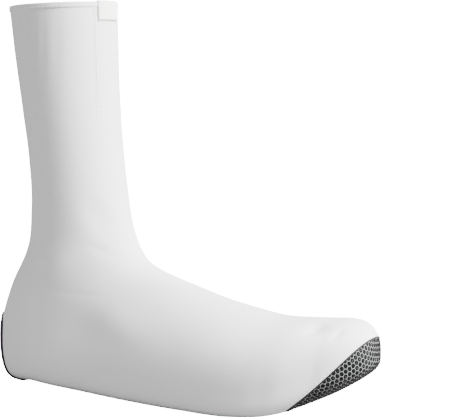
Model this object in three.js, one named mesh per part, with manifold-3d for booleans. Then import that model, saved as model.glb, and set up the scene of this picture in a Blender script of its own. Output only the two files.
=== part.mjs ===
// Cycling overshoe for the right foot, standing on the floor in its worn form.
// Millimetres, +X towards the toe, -Y the outer side of the foot, +Z up.
// The origin is the middle of the bounding box's bottom face.

import * as THREE from 'three';
import { mergeVertices } from 'three/addons/utils/BufferGeometryUtils.js';
import Module from 'manifold-3d';

const wasm = await Module();
wasm.setup();

// Driving sizes of the whole overshoe
const footLength = 300;   // back of the heel to the tip of the toe
const ankleHeight = 104;  // floor to the crease in front of the ankle
const legRise = 181;      // from that crease up to the front of the rim
const rimWidth = 77;      // side to side at the rim
const ballWidth = 100;    // side to side at the ball of the foot

// Cloth and clearances
const clothWall = 1.5;    // coated stretch cloth of the leg and foot
const capWall = 1.5;      // grip mesh of the toe, with its backing
const clearance = 0.3;    // between any two pieces that meet
const hemHeight = 4;      // turned hem at the rim
const hemExtra = 0.5;     // how far the hem is thicker, outside

// Toe cap and the bound seam behind it
const capReach = 57;      // from the tip of the toe back to the seam, under the sole
const capSlope = 45;      // degrees: the seam climbs forward from the sole
const capSag = 5;         // how far the seam dips below a straight line, half way up
const seamWidth = 1.4;
const seamProud = 0.4;

// Heel patch
const patchWidth = 61;
const patchAbove = 50;    // floor to its upper edge, on the back of the heel
const patchUnder = 31;    // how far it runs forward under the heel
const patchThickness = 1;
const patchCorner = 4.5;  // superellipse power of its outline

// Tape tab folded over the rim in front
const tabWidth = 24;
const tabDrop = 13.5;
const tapeThickness = 0.9;

// Openings in the sole, for the shoe's cleat and its heel pad
const cleatLength = 62;
const cleatWidth = 58;
const cleatBehindSeam = 20;
const heelPadLength = 42;
const heelPadWidth = 40;
const heelPadBehindPatch = 9;
const openingCorner = 12;

const patchStandOff = clearance + patchThickness;

// Leg sections, from the rim down. topX and backX are shares of footLength, topZ and
// backZ of legRise above the crease, halfWidth of rimWidth.
// rows: how many rows of facets lie between this section and the next one.
const LEG = [
  { topX: 0.302, topZ: 1.000, backX: 0.029, backZ: 0.983, halfWidth: 0.497, rows: 2 },
  { topX: 0.305, topZ: 0.827, backX: 0.040, backZ: 0.804, halfWidth: 0.474, rows: 3 },
  { topX: 0.310, topZ: 0.610, backX: 0.059, backZ: 0.575, halfWidth: 0.448, rows: 2 },
  { topX: 0.322, topZ: 0.381, backX: 0.076, backZ: 0.350, halfWidth: 0.425, rows: 3 },
  { topX: 0.339, topZ: 0.185, backX: 0.079, backZ: 0.146, halfWidth: 0.422, rows: 3 },
  { topX: 0.357, topZ: 0.069, backX: 0.062, backZ: -0.028, halfWidth: 0.428, rows: 3 },
];

// Foot sections, from the crease to the toe. topX and backX are shares of footLength,
// topZ and backZ of ankleHeight, halfWidth and shift (towards the inner side) of ballWidth.
// widest: how far down the section is widest. upper, lower: superellipse powers.
const FOOT = [
  { topX: 0.376, topZ: 1.000, backX: 0.020, backZ: 0.654, halfWidth: 0.350,
    shift: 0.000, widest: 0.52, upper: 2.0, lower: 2.6, rows: 3 },
  { topX: 0.399, topZ: 0.923, backX: 0.002, backZ: 0.365, halfWidth: 0.360,
    shift: 0.000, widest: 0.57, upper: 2.0, lower: 3.4, rows: 4 },
  { topX: 0.436, topZ: 0.868, backX: 0.030, backZ: 0.034, halfWidth: 0.365,
    shift: 0.000, widest: 0.62, upper: 2.0, lower: 4.4, rows: 3 },
  { topX: 0.480, topZ: 0.824, backX: 0.128, backZ: 0.000, halfWidth: 0.385,
    shift: 0.000, widest: 0.66, upper: 2.0, lower: 5.0, rows: 2 },
  { topX: 0.544, topZ: 0.771, backX: 0.285, backZ: -0.010, halfWidth: 0.425,
    shift: -0.010, widest: 0.69, upper: 2.0, lower: 5.2, rows: 2 },
  { topX: 0.617, topZ: 0.714, backX: 0.436, backZ: -0.015, halfWidth: 0.465,
    shift: -0.025, widest: 0.70, upper: 2.0, lower: 5.2, rows: 2 },
  { topX: 0.698, topZ: 0.662, backX: 0.587, backZ: -0.015, halfWidth: 0.495,
    shift: -0.030, widest: 0.69, upper: 2.1, lower: 5.2, rows: 2 },
  { topX: 0.779, topZ: 0.623, backX: 0.711, backZ: -0.015, halfWidth: 0.500,
    shift: -0.015, widest: 0.67, upper: 2.2, lower: 5.0, rows: 2 },
  { topX: 0.852, topZ: 0.623, backX: 0.805, backZ: 0.015, halfWidth: 0.470,
    shift: 0.020, widest: 0.65, upper: 2.4, lower: 4.4, rows: 2 },
  { topX: 0.919, topZ: 0.627, backX: 0.893, backZ: 0.115, halfWidth: 0.385,
    shift: 0.080, widest: 0.63, upper: 2.6, lower: 3.8, rows: 5 },
];

// The tip that the last section closes to, as shares like the foot's, and the power of
// the dome that closes it.
const TIP = { x: 1.000, z: 0.376, shift: 0.110, power: 2.5 };

// Soft dents and swellings of the worn cloth. x is a share of footLength, z of
// ankleHeight; along and across are half sizes in footLength; turn is in degrees from
// +X towards +Z; depth is a share of footLength, inward when positive; side is -1 on the
// outer side of the foot and 1 on the inner side.
const DENTS = [
  { name: 'ankle hollow', x: 0.285, z: 0.43, along: 0.080, across: 0.050,
    turn: 20, depth: 0.0055, side: -1 },
  { name: 'inner ankle hollow', x: 0.285, z: 0.43, along: 0.080, across: 0.050,
    turn: 20, depth: 0.0050, side: 1 },
  { name: 'outer ankle bone', x: 0.220, z: 0.88, along: 0.060, across: 0.050,
    turn: 70, depth: -0.0040, side: -1 },
  { name: 'inner ankle bone', x: 0.235, z: 0.95, along: 0.060, across: 0.050,
    turn: 70, depth: -0.0045, side: 1 },
  { name: 'instep swelling', x: 0.400, z: 0.52, along: 0.090, across: 0.045,
    turn: -15, depth: -0.0045, side: -1 },
  { name: 'arch hollow', x: 0.470, z: 0.25, along: 0.120, across: 0.045,
    turn: 0, depth: 0.0110, side: 1 },
  { name: 'toe box dimple', x: 0.900, z: 0.60, along: 0.035, across: 0.020,
    turn: 0, depth: 0.0045, side: -1 },
  { name: 'ball crease', x: 0.800, z: 0.22, along: 0.055, across: 0.016,
    turn: 75, depth: 0.0035, side: -1 },
];

const radians = THREE.MathUtils.degToRad;

// One list of sections in millimetres, leg first.
const SECTION_KEYS = [
  'topX', 'topZ', 'backX', 'backZ', 'halfWidth', 'shift', 'widest', 'upper', 'lower',
];
const LEG_WIDEST = 0.5;
const ELLIPSE = 2;
const legSections = LEG.map((row) => ({
  topX: row.topX * footLength,
  topZ: ankleHeight + row.topZ * legRise,
  backX: row.backX * footLength,
  backZ: ankleHeight + row.backZ * legRise,
  halfWidth: row.halfWidth * rimWidth,
  shift: 0,
  widest: LEG_WIDEST,
  upper: ELLIPSE,
  lower: ELLIPSE,
  rows: row.rows,
}));
const footSections = FOOT.map((row) => ({
  ...row,
  topX: row.topX * footLength,
  topZ: row.topZ * ankleHeight,
  backX: row.backX * footLength,
  backZ: row.backZ * ankleHeight,
  halfWidth: row.halfWidth * ballWidth,
  shift: row.shift * ballWidth,
}));
const sections = [...legSections, ...footSections];
const lastSection = sections.length - 1;
const tip = { x: TIP.x * footLength, z: TIP.z * ankleHeight, shift: TIP.shift * ballWidth };

// Distance along the middle of the shoe at each section.
const knots = [0];
for (let k = 1; k < sections.length; k++) {
  const a = sections[k - 1];
  const b = sections[k];
  const dx = (b.topX + b.backX - a.topX - a.backX) / 2;
  const dz = (b.topZ + b.backZ - a.topZ - a.backZ) / 2;
  knots.push(knots[k - 1] + Math.hypot(dx, dz));
}

// Slope of a section value at each knot: the mean of its neighbours' slopes, the
// nearer one counting more, and run on at both ends.
function slopesOf(key) {
  const rise = (k) => (sections[k + 1][key] - sections[k][key]) / (knots[k + 1] - knots[k]);
  const slopes = sections.map((_, k) => {
    if (k === 0 || k === lastSection) return 0;
    const before = knots[k] - knots[k - 1];
    const after = knots[k + 1] - knots[k];
    return (rise(k - 1) * after + rise(k) * before) / (before + after);
  });
  slopes[0] = 1.5 * rise(0) - 0.5 * slopes[1];
  slopes[lastSection] = 1.5 * rise(lastSection - 1) - 0.5 * slopes[lastSection - 1];
  return slopes;
}
const slopes = Object.fromEntries(SECTION_KEYS.map((key) => [key, slopesOf(key)]));

// Section at u, where u counts sections from the rim: a cubic curve through each value,
// and past the last section a dome that closes to the tip at u = lastSection + 1.
function sectionAt(u) {
  if (u > lastSection) return domeSection(Math.min(u - lastSection, 1));
  const k = Math.min(Math.floor(Math.max(u, 0)), lastSection - 1);
  const q = u - k;
  const span = knots[k + 1] - knots[k];
  const out = {};
  for (const key of SECTION_KEYS) {
    const m = slopes[key];
    out[key] = (2 * q ** 3 - 3 * q ** 2 + 1) * sections[k][key]
      + (q ** 3 - 2 * q ** 2 + q) * span * m[k]
      + (3 * q ** 2 - 2 * q ** 3) * sections[k + 1][key]
      + (q ** 3 - q ** 2) * span * m[k + 1];
  }
  return out;
}

function domeSection(t) {
  const end = sections[lastSection];
  const part = Math.sin(t * Math.PI / 2);
  const shrink = (1 - part ** TIP.power) ** (1 / TIP.power);
  const endX = (end.topX + end.backX) / 2;
  const endZ = (end.topZ + end.backZ) / 2;
  const reach = (tip.x - endX) * part;
  const forward = (slopes.topX[lastSection] + slopes.backX[lastSection]) / 2;
  const run = (key) => end[key] + slopes[key][lastSection] / forward * reach;
  const middleX = endX + reach;
  const middleZ = endZ + (tip.z - endZ) * part;
  return {
    ...end,
    topX: middleX + (run('topX') - middleX) * shrink,
    topZ: middleZ + (run('topZ') - middleZ) * shrink,
    backX: middleX + (run('backX') - middleX) * shrink,
    backZ: middleZ + (run('backZ') - middleZ) * shrink,
    halfWidth: run('halfWidth') * shrink,
    shift: end.shift + (tip.shift - end.shift) * part,
  };
}

// Lowest the cloth may lie: on the floor under the ball, and a patch's thickness above
// it under the heel, with a smooth slope between them.
const heelLevelEnd = 0.2 * footLength;
const ballLevelStart = 0.37 * footLength;
function clothFloor(x) {
  return patchStandOff * (1 - THREE.MathUtils.smoothstep(x, heelLevelEnd, ballLevelStart));
}

// Point of a section at across in -1..1 of its half width and up in -1..1 of its height
// from the widest line.
function sectionPoint(section, up, across) {
  const down = up >= 0 ? section.widest * (1 - up) : section.widest - (1 - section.widest) * up;
  const x = section.topX + (section.backX - section.topX) * down;
  const z = section.topZ + (section.backZ - section.topZ) * down;
  const y = section.shift + section.halfWidth * across;
  return new THREE.Vector3(x, y, Math.max(z, clothFloor(x)));
}

// Point of the smooth shoe at section u and angle, 0 on top or in front and pi under the
// sole or behind: a superellipse met by a ray at that angle.
function smoothPoint(u, angle) {
  const section = sectionAt(u);
  const c = Math.cos(angle);
  const s = Math.sin(angle);
  const power = c >= 0 ? section.upper : section.lower;
  const ray = (Math.abs(c) ** power + Math.abs(s) ** power) ** (-1 / power);
  return sectionPoint(section, c * ray, s * ray);
}

// Outward normal of the smooth shoe, from small steps along u and the angle.
const STEP = 1e-3;
const poleMargin = 4e-3;
function normalAt(u, angle) {
  const at = Math.min(u, lastSection + 1 - poleMargin);
  const along = smoothPoint(at + STEP, angle).sub(smoothPoint(Math.max(at - STEP, 0), angle));
  const around = smoothPoint(at, angle + STEP).sub(smoothPoint(at, angle - STEP));
  return along.cross(around).normalize();
}

// How far the dents push a point of the cloth inward.
const sideBlend = 0.16 * ballWidth;
const dentFade = patchAbove / 3;   // the dents fade out below this height
function dentDepth(point) {
  let depth = 0;
  for (const dent of DENTS) {
    const dx = point.x - dent.x * footLength;
    const dz = point.z - dent.z * ankleHeight;
    const c = Math.cos(radians(dent.turn));
    const s = Math.sin(radians(dent.turn));
    const along = (dx * c + dz * s) / (dent.along * footLength);
    const across = (dz * c - dx * s) / (dent.across * footLength);
    const onSide = THREE.MathUtils.smoothstep(dent.side * point.y, 0, sideBlend);
    depth += dent.depth * footLength * onSide * Math.exp(-(along ** 2) - across ** 2);
  }
  return depth * THREE.MathUtils.smoothstep(point.z, clothFloor(point.x), dentFade);
}

// Point of the cloth's outer face, moved out by offset along the normal.
function clothPoint(u, angle, offset = 0) {
  const point = smoothPoint(u, angle);
  const normal = normalAt(u, angle);
  return point.addScaledVector(normal, offset - dentDepth(point));
}

// Seen from the side, the toe seam climbs forward along a slope with a slight sag. This
// is the distance of a point behind it.
const seamFoot = footLength - capReach;
function behindSeam(point) {
  const a = radians(capSlope);
  const forward = point.x - seamFoot;
  const part = THREE.MathUtils.clamp(forward / capReach, 0, 1);
  const sag = capSag * 4 * part * (1 - part);
  return (point.z + sag) * Math.cos(a) - forward * Math.sin(a);
}

// Where the shoe's line at this angle is the given distance behind the seam.
const seamSearchStart = LEG.length + 4;
const halvings = 40;
function sectionAtSeam(angle, distance) {
  let low = seamSearchStart;
  let high = lastSection + 1;
  for (let i = 0; i < halvings; i++) {
    const middle = (low + high) / 2;
    if (behindSeam(smoothPoint(middle, angle)) > distance) low = middle;
    else high = middle;
  }
  return low;
}

// A mesh from rows of points, each row a closed ring. The rows close on the first one,
// or else on a pole point at each end. Each half of the ring has its own diagonals, so
// that the two sides of the shoe mirror each other.
function ringMesh(rows, poles) {
  const n = rows[0].length;
  const points = rows.flat();
  const faces = [];
  const count = rows.length;
  const last = poles ? count - 1 : count;
  for (let i = 0; i < last; i++) {
    const next = (i + 1) % count;
    for (let j = 0; j < n; j++) {
      const k = (j + 1) % n;
      const [a, b, c, d] = [i * n + j, next * n + j, next * n + k, i * n + k];
      if (j < n / 2) faces.push(a, b, c, a, c, d);
      else faces.push(b, c, d, b, d, a);
    }
  }
  if (poles) {
    points.push(...poles);
    const first = count * n;
    for (let j = 0; j < n; j++) {
      const k = (j + 1) % n;
      faces.push(first, j, k);
      faces.push(first + 1, (count - 1) * n + k, (count - 1) * n + j);
    }
  }
  return meshGeometry(points, faces);
}

function meshGeometry(points, faces) {
  const geometry = new THREE.BufferGeometry();
  const values = points.flatMap((point) => point.toArray());
  geometry.setAttribute('position', new THREE.Float32BufferAttribute(values, 3));
  geometry.setIndex(faces);
  return geometry;
}

function steps(count, from, to) {
  return Array.from({ length: count + 1 }, (_, i) => from + (to - from) * i / count);
}

// How finely the curved faces are cut into facets.
const aroundCount = 44;
const capRings = 8;
const patchRings = 10;
const patchTurns = 36;
const tabAcross = 8;
const tabLevels = 3;
const cornerSteps = 4;
const angles = steps(aroundCount, 0, 2 * Math.PI).slice(0, aroundCount);

// Rows keep to the sections as far as the heel, then spread to reach the sloping seam.
const spreadFrom = LEG.length + 3;

// Leg and foot: one wall of cloth from the turned hem to the toe seam, open at both ends.
function upperGeometry() {
  const edges = angles.map((angle) => sectionAtSeam(angle, seamWidth / 2 + clearance));
  const lastRow = Math.max(...edges);
  const hemEnd = hemHeight / knots[1];
  const shares = [hemEnd];
  sections.forEach((section, k) => {
    const top = Math.min(k + 1, lastRow);
    const from = Math.max(k, hemEnd);
    if (from < top) shares.push(...steps(section.rows, from, top).slice(1));
  });
  const uAt = (share, j) => (share <= spreadFrom ? share
    : spreadFrom + (share - spreadFrom) * (edges[j] - spreadFrom) / (lastRow - spreadFrom));
  const ring = (share, offset) => angles.map((angle, j) => clothPoint(uAt(share, j), angle, offset));
  const outside = shares.map((share) => ring(share, 0));
  const inside = shares.map((share) => ring(share, -clothWall)).reverse();
  const hem = [ring(0, -clothWall), ring(0, hemExtra), ring(hemEnd, hemExtra)];
  return ringMesh([...hem, ...outside, ...inside]);
}

// Toe cap: the closed end of the shoe in front of the seam.
function capGeometry() {
  const starts = angles.map((angle) => sectionAtSeam(angle, -seamWidth / 2 - clearance));
  const end = lastSection + 1;
  const shares = steps(capRings, 0, 1).slice(0, -1);
  const ring = (share, offset) => angles.map((angle, j) => (
    clothPoint(starts[j] + (end - starts[j]) * share, angle, offset)));
  const pole = (offset) => clothPoint(end, 0, offset);
  const inside = shares.map((share) => ring(share, -capWall)).reverse();
  const outside = shares.map((share) => ring(share, 0));
  return ringMesh([...inside, ...outside], [pole(-capWall), pole(0)]);
}

// Bound seam: a narrow band in the gap between the cloth and the toe cap.
function seamGeometry() {
  const half = seamWidth / 2;
  const corners = [[half, -clothWall], [half, 0], [half / 2, seamProud], [-half / 2, seamProud],
    [-half, 0], [-half, -clothWall]];
  return ringMesh(corners.map(([behind, offset]) => angles.map((angle) => (
    clothPoint(sectionAtSeam(angle, behind), angle, offset)))));
}

// Where the line down the back and under the sole is at a height, or at an x under it.
function sectionOnBackLine(isPast) {
  let low = LEG.length - 2;
  let high = lastSection;
  for (let i = 0; i < halvings; i++) {
    const middle = (low + high) / 2;
    if (isPast(smoothPoint(middle, Math.PI))) high = middle;
    else low = middle;
  }
  return low;
}

// Heel patch: a sheet with rounded corners laid over the back and the bottom of the heel.
const backX = sections.reduce((least, section) => Math.min(least, section.backX), footLength);
const underHeel = patchAbove / 4;
function patchGeometry() {
  const upperEnd = sectionOnBackLine((p) => p.z < patchAbove);
  const lowerEnd = sectionOnBackLine((p) => p.z < underHeel && p.x > backX + patchUnder);
  const uMiddle = (upperEnd + lowerEnd) / 2;
  const uHalf = (lowerEnd - upperEnd) / 2;
  const place = (radius, turn, offset) => {
    const c = Math.cos(turn);
    const s = Math.sin(turn);
    const round = Math.abs(c) ** patchCorner + Math.abs(s) ** patchCorner;
    const ray = radius * round ** (-1 / patchCorner);
    const u = uMiddle + uHalf * c * ray;
    const section = sectionAt(u);
    const across = patchWidth / 2 * s * ray / section.halfWidth;
    const up = -((1 - Math.abs(across) ** section.lower) ** (1 / section.lower));
    return clothPoint(u, Math.atan2(across, up), offset);
  };
  const rings = steps(patchRings, 0, 1).slice(1);
  const turns = steps(patchTurns, 0, 2 * Math.PI).slice(0, patchTurns);
  const ring = (radius, offset) => turns.map((turn) => place(radius, turn, offset));
  const inner = rings.map((radius) => ring(radius, clearance));
  const outer = rings.map((radius) => ring(radius, patchStandOff)).reverse();
  return ringMesh([...inner, ...outer], [place(0, 0, clearance), place(0, 0, patchStandOff)]);
}

// Front tab: a tape folded over the rim, one leg outside and one inside. The fold is
// flattened, so that it rises by this share of the tape's thickness.
const foldShare = 0.7;
function tabGeometry() {
  const outsideFace = hemExtra + clearance;
  const insideFace = -clothWall - clearance;
  const drop = tabDrop / knots[1];
  const across = steps(tabAcross, -1, 1);
  const place = (share, offset, above, side) => {
    const section = sectionAt(share);
    const b = side * tabWidth / 2 / section.halfWidth;
    const angle = Math.atan2(b, Math.sqrt(1 - b ** 2));
    const point = clothPoint(share, angle, offset);
    point.z += above;
    return point;
  };
  const levels = steps(tabLevels, drop, 0);
  const profile = (side) => {
    const tape = tapeThickness;
    const over = clearance;
    const near = [
      ...levels.map((share) => place(share, outsideFace, 0, side)),
      place(0, outsideFace, over, side),
      place(0, insideFace, over, side),
      ...levels.toReversed().map((share) => place(share, insideFace, 0, side)),
    ];
    const far = [
      ...levels.map((share) => place(share, outsideFace + tape, 0, side)),
      place(0, outsideFace + tape * foldShare, over + tape * foldShare, side),
      place(0, insideFace - tape * foldShare, over + tape * foldShare, side),
      ...levels.toReversed().map((share) => place(share, insideFace - tape, 0, side)),
    ];
    return [...near, ...far.reverse()];
  };
  return stripMesh(across.map(profile));
}

// A mesh from rows of points, each row a closed outline whose first and second halves
// face each other, with both end rows closed by faces across that outline.
function stripMesh(rows) {
  const n = rows[0].length;
  const faces = [];
  for (let i = 0; i < rows.length - 1; i++) {
    for (let j = 0; j < n; j++) {
      const k = (j + 1) % n;
      faces.push(i * n + j, (i + 1) * n + k, (i + 1) * n + j);
      faces.push(i * n + j, i * n + k, (i + 1) * n + k);
    }
  }
  const end = (rows.length - 1) * n;
  for (let j = 0; j < n / 2 - 1; j++) {
    const [a, b, c, d] = [j, j + 1, n - 2 - j, n - 1 - j];
    faces.push(a, c, b, a, d, c);
    faces.push(end + a, end + b, end + c, end + a, end + c, end + d);
  }
  return meshGeometry(rows.flat(), faces);
}

// A boolean cut on closed meshes.
function toManifold(geometry) {
  const plain = geometry.clone();
  plain.deleteAttribute('normal');
  plain.deleteAttribute('uv');
  const merged = mergeVertices(plain);
  return new wasm.Manifold(new wasm.Mesh({
    numProp: 3,
    vertProperties: new Float32Array(merged.attributes.position.array),
    triVerts: new Uint32Array(merged.index.array),
  }));
}

function fromManifold(solid) {
  const mesh = solid.getMesh();
  const geometry = new THREE.BufferGeometry();
  geometry.setAttribute('position', new THREE.BufferAttribute(mesh.vertProperties, mesh.numProp));
  geometry.setIndex(new THREE.BufferAttribute(mesh.triVerts, 1));
  return geometry;
}

// An upright block with rounded corners, for an opening through the sole.
function openingBlock(length, width, middleX, middleY) {
  const radius = Math.min(openingCorner, length / 3, width / 3);
  const outline = new THREE.Shape();
  const x = length / 2;
  const y = width / 2;
  outline.moveTo(-x + radius, -y);
  outline.lineTo(x - radius, -y);
  outline.absarc(x - radius, -y + radius, radius, -Math.PI / 2, 0);
  outline.lineTo(x, y - radius);
  outline.absarc(x - radius, y - radius, radius, 0, Math.PI / 2);
  outline.lineTo(-x + radius, y);
  outline.absarc(-x + radius, y - radius, radius, Math.PI / 2, Math.PI);
  outline.lineTo(-x, -y + radius);
  outline.absarc(-x + radius, -y + radius, radius, Math.PI, Math.PI * 1.5);
  const reach = 4 * (clothWall + patchStandOff);
  const geometry = new THREE.ExtrudeGeometry(outline, {
    depth: reach, bevelEnabled: false, curveSegments: cornerSteps,
  });
  geometry.translate(middleX, middleY, -reach / 2);
  return geometry;
}

const cleatMiddle = seamFoot - cleatBehindSeam - cleatLength / 2;
const heelPadMiddle = backX + patchUnder + heelPadBehindPatch + heelPadLength / 2;
const ballShift = Math.min(...footSections.map((section) => section.shift));

function openedUpper() {
  const cleat = openingBlock(cleatLength, cleatWidth, cleatMiddle, ballShift);
  const heelPad = openingBlock(heelPadLength, heelPadWidth, heelPadMiddle, 0);
  const cloth = toManifold(upperGeometry());
  return fromManifold(cloth.subtract(toManifold(cleat)).subtract(toManifold(heelPad)));
}

// Finishes
const finish = (color, roughness) => new THREE.MeshStandardMaterial({ color, roughness });
const coatedCloth = finish('#e9eaea', 0.55);
const gripMesh = finish('#3a3b3c', 0.7);
const darkBinding = finish('#2b2b2c', 0.75);
const blackRubber = finish('#1a1a1b', 0.65);
const elasticTape = finish('#f3f2ef', 0.8);

function piece(name, geometry, material) {
  const mesh = new THREE.Mesh(geometry, material);
  mesh.name = name;
  return mesh;
}

const overshoe = new THREE.Group();
overshoe.add(piece('upper', openedUpper(), coatedCloth));
overshoe.add(piece('toe_cap', capGeometry(), gripMesh));
overshoe.add(piece('toe_seam', seamGeometry(), darkBinding));
overshoe.add(piece('heel_patch', patchGeometry(), blackRubber));
overshoe.add(piece('front_tab', tabGeometry(), elasticTape));

// The origin goes to the middle of the box's bottom face.
const box = new THREE.Box3().setFromObject(overshoe);
const middle = box.getCenter(new THREE.Vector3());
overshoe.position.set(-middle.x, -middle.y, -box.min.z);

export default overshoe;
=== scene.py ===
"""Cycling overshoe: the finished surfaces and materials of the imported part.

It is laid out as an add-on. The panel in the 3D view's sidebar lists one operator for each
piece, and the property groups hold the sizes and colours that a user would change. Run as
a script it builds the whole overshoe over the frame.
Lengths are metres: +X towards the toe, -Y the outer side of the foot, +Z up.
"""
import math

import bpy
import numpy as np
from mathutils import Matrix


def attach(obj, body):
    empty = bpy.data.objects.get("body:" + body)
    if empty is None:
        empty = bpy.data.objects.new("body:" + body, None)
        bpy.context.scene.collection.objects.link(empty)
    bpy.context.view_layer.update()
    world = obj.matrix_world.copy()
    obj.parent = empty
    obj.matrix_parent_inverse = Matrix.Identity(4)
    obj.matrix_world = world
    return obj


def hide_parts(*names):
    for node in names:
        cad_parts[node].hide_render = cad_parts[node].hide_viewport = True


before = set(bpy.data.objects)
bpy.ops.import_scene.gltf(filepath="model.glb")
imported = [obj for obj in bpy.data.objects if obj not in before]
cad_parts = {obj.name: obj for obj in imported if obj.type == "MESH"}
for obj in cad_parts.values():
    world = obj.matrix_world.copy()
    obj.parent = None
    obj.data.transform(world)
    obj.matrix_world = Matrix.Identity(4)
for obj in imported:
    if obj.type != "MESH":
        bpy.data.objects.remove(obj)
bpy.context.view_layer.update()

bl_info = {
    "name": "Cycling Overshoe",
    "version": (1, 0, 0),
    "blender": (4, 5, 0),
    "location": "3D View > Sidebar > Overshoe",
    "description": "Builds a tall cycling overshoe with grip toe cap, heel patch and pull tab",
    "category": "Add Mesh",
}

MM = 0.001

# Place of the part's origin, the middle of its base, measured from the heel's back on the
# floor: a share of the foot length forward, and of the ball width to the inner side.
ORIGIN_FORWARD = 0.49886
ORIGIN_INNER = -0.01801

# Sections of the overshoe from the rim to the toe. top and back are the section's two ends
# in side view: x is a share of the foot length. In the leg z is a share of the leg's rise
# above the ankle crease and half width of the rim's width; in the foot they are shares of
# the ankle height and the ball width.
# Columns: top x, top z, back x, back z, half width.
LEG_SECTIONS = (
    (0.302, 1.000, 0.029, 0.983, 0.497),
    (0.305, 0.827, 0.040, 0.804, 0.474),
    (0.310, 0.610, 0.059, 0.575, 0.448),
    (0.322, 0.381, 0.076, 0.350, 0.425),
    (0.339, 0.185, 0.079, 0.146, 0.422),
    (0.357, 0.069, 0.062, -0.028, 0.428),
)
LEG_WIDEST = 0.5
ELLIPSE = 2.0
# Further columns: shift to the inner side, how far down the widest line is, and the
# superellipse powers above and below that line.
FOOT_SECTIONS = (
    (0.376, 1.000, 0.020, 0.654, 0.350, 0.000, 0.52, 2.0, 2.6),
    (0.399, 0.923, 0.002, 0.365, 0.360, 0.000, 0.57, 2.0, 3.4),
    (0.436, 0.868, 0.030, 0.034, 0.365, 0.000, 0.62, 2.0, 4.4),
    (0.480, 0.824, 0.128, 0.000, 0.385, 0.000, 0.66, 2.0, 5.0),
    (0.544, 0.771, 0.285, -0.010, 0.425, -0.010, 0.69, 2.0, 5.2),
    (0.617, 0.714, 0.436, -0.015, 0.465, -0.025, 0.70, 2.0, 5.2),
    (0.698, 0.662, 0.587, -0.015, 0.495, -0.030, 0.69, 2.1, 5.2),
    (0.779, 0.623, 0.711, -0.015, 0.500, -0.015, 0.67, 2.2, 5.0),
    (0.852, 0.623, 0.805, 0.015, 0.470, 0.020, 0.65, 2.4, 4.4),
    (0.919, 0.627, 0.893, 0.115, 0.385, 0.080, 0.63, 2.6, 3.8),
)
TOP_X, TOP_Z, BACK_X, BACK_Z, HALF_WIDTH, SHIFT, WIDEST, UPPER, LOWER = range(9)
TIP_X, TIP_Z, TIP_SHIFT, TIP_POWER = 1.0, 0.376, 0.110, 2.5

# Places counted in sections from the rim: where the searches for the toe seam and for the
# heel patch begin, and where the rows of the cloth begin to fan out towards the toe seam.
SEAM_FROM = len(LEG_SECTIONS) + 4.0
BACK_FROM = len(LEG_SECTIONS) - 2.0
FAN_FROM = len(LEG_SECTIONS) + 3.0

# Where the sole comes down from the heel patch to the floor, in shares of the foot length
SOLE_LEAVES = 0.20
SOLE_LANDS = 0.37

# Folds and dents of the worn cloth. Columns: x as a share of the foot length, z of the
# ankle height, half length and half width in millimetres, turn in degrees from +X towards
# +Z, depth in millimetres (inward when positive), and side: -1 outer, 1 inner.
FOLDS = (
    # The broad forms of the foot. The solids have them too, with a deeper hollow at the
    # outer ankle (the first row) and a deeper crease at the ball (the last one).
    (0.285, 0.43, 24.0, 15.0, 20, 1.40, -1),
    (0.285, 0.43, 24.0, 15.0, 20, 1.50, 1),
    (0.220, 0.88, 18.0, 15.0, 70, -1.20, -1),
    (0.235, 0.95, 18.0, 15.0, 70, -1.35, 1),
    (0.400, 0.52, 27.0, 13.5, -15, -1.35, -1),
    (0.470, 0.25, 36.0, 13.5, 0, 3.30, 1),
    (0.900, 0.60, 10.5, 6.0, 0, 1.35, -1),
    (0.800, 0.22, 16.5, 6.0, 75, 0.50, -1),
    # Creases behind the ankle
    (0.140, 0.97, 9.0, 2.6, -22, 0.35, -1),
    (0.172, 0.93, 8.0, 2.6, -18, 0.25, -1),
    (0.270, 0.70, 22.0, 2.0, -3, 0.16, -1),
    (0.165, 0.90, 11.0, 2.6, -14, 0.35, 1),
    (0.260, 0.68, 20.0, 2.2, 4, 0.20, 1),
    # Hollow of the ankle front, and its small folds
    (0.318, 1.22, 15.0, 7.0, -62, 1.00, -1),
    (0.325, 1.00, 10.0, 3.4, -25, 0.35, -1),
    (0.322, 1.18, 15.0, 7.0, -60, 0.90, 1),
    (0.335, 1.02, 11.0, 3.4, -20, 0.40, 1),
    # Pleats under the rim at the back
    (0.166, 2.45, 22.0, 2.8, 86, 0.22, -1),
    (0.190, 2.42, 26.0, 3.0, 87, 0.22, -1),
    (0.226, 2.44, 22.0, 3.2, 88, 0.18, -1),
    (0.180, 2.42, 24.0, 2.8, 86, 0.45, 1),
    # Toe box dimples, and the creases that run down to the cap
    (0.887, 0.610, 5.0, 3.0, 10, 2.00, -1),
    (0.943, 0.590, 2.6, 4.5, -25, 2.20, -1),
    (0.954, 0.61, 8.0, 1.8, -35, 0.50, -1),
    (0.822, 0.23, 9.0, 2.6, 68, 0.12, -1),
)
# The folds fade out within this distance of the middle, and below this part of the heel
# patch's height.
SIDE_BLEND = 16 * MM
FOLD_FADE = 1 / 3

# Mesh density: points round a ring or along a row
AROUND = 216
OUTER_ROWS = 300
INNER_ROWS = 80
HEM_ROWS = 5
ROUND_ROWS = 6
CAP_AROUND = 400
CAP_ROWS = 120
CAP_INNER_ROWS = 20
FLAT_AROUND = 48
FLAT_ROWS = 14
OPENING_AROUND = 96
CORNER_POINTS = 13
ARCH_POINTS = 9
SEAM_ROWS = 120
STITCH_STEPS = 7
STITCH_SIDES = 6
PATCH_AROUND = 160
PATCH_ROWS = 26
TAB_ACROSS = 130
TAB_DOWN = 40
TAB_OVER = 15

# Gaps between pieces, and the steps, rounds and limits of the sums
CLEARANCE = 0.3 * MM
SEAM_GAP = 0.1 * MM
SLOPE_STEP = 1e-3
POLE_MARGIN = 4e-3
HALVINGS = 40
FLAT_ROUNDS = 30
LEAST_LENGTH = 1e-12

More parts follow.
